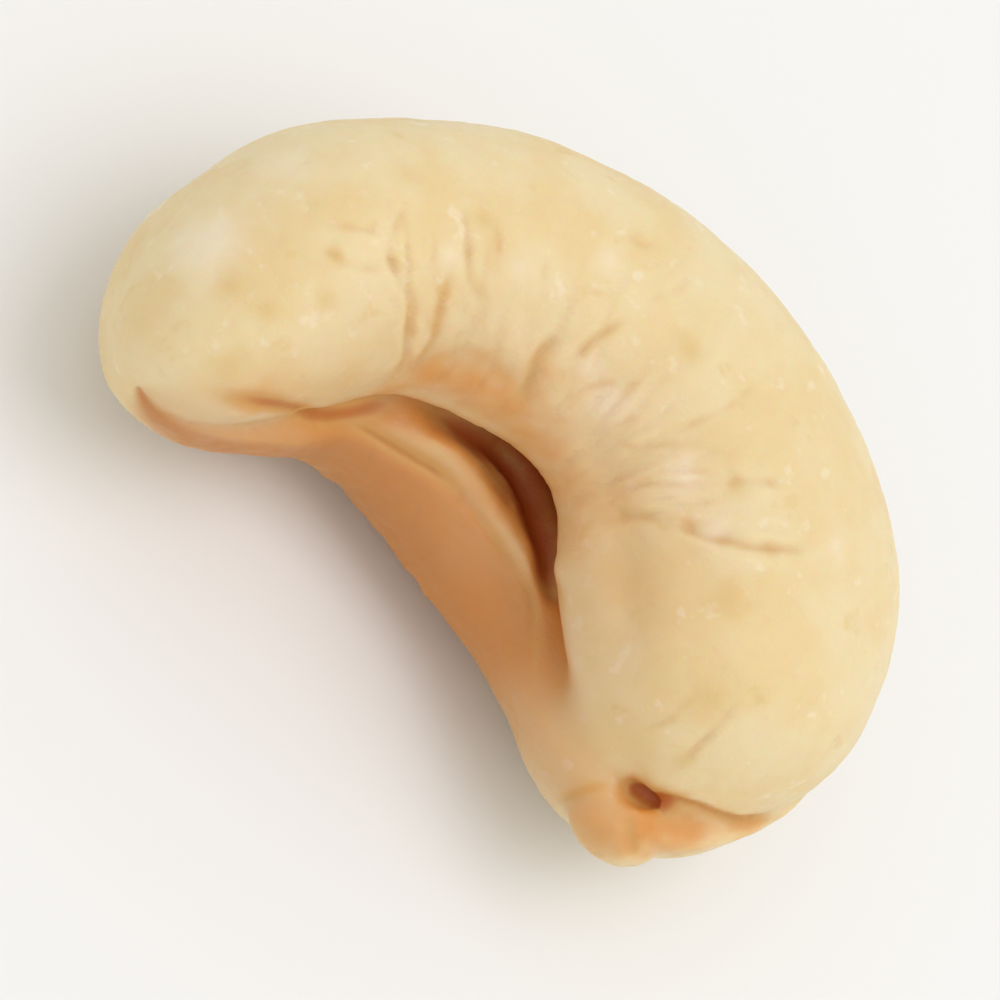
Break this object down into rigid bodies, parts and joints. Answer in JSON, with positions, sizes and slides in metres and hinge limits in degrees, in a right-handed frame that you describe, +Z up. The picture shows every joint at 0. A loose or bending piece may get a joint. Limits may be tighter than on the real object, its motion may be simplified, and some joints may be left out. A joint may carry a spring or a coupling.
{
  "type": "cashew nut kernel",
  "caption": "Whole peeled cashew kernel, kidney-shaped, two grown-together seed leaves with a gap along the hollow side, a germ and a pit at the tail.",
  "frame": {"origin": "middle of the underside of the bounding box, on the surface that the kernel rests on", "axes": "+X from the head to the tail along the kernel, +Y towards the curved back, the hollow side faces -Y, +Z up through the upper seed leaf"},
  "size_m": [0.026, 0.0172, 0.0111],
  "materials": {
    "kernel": "matte, slightly waxy"
  },
  "bodies": {
    "root": {"cashew_kernel": "kernel"}
  },
  "joints": []
}
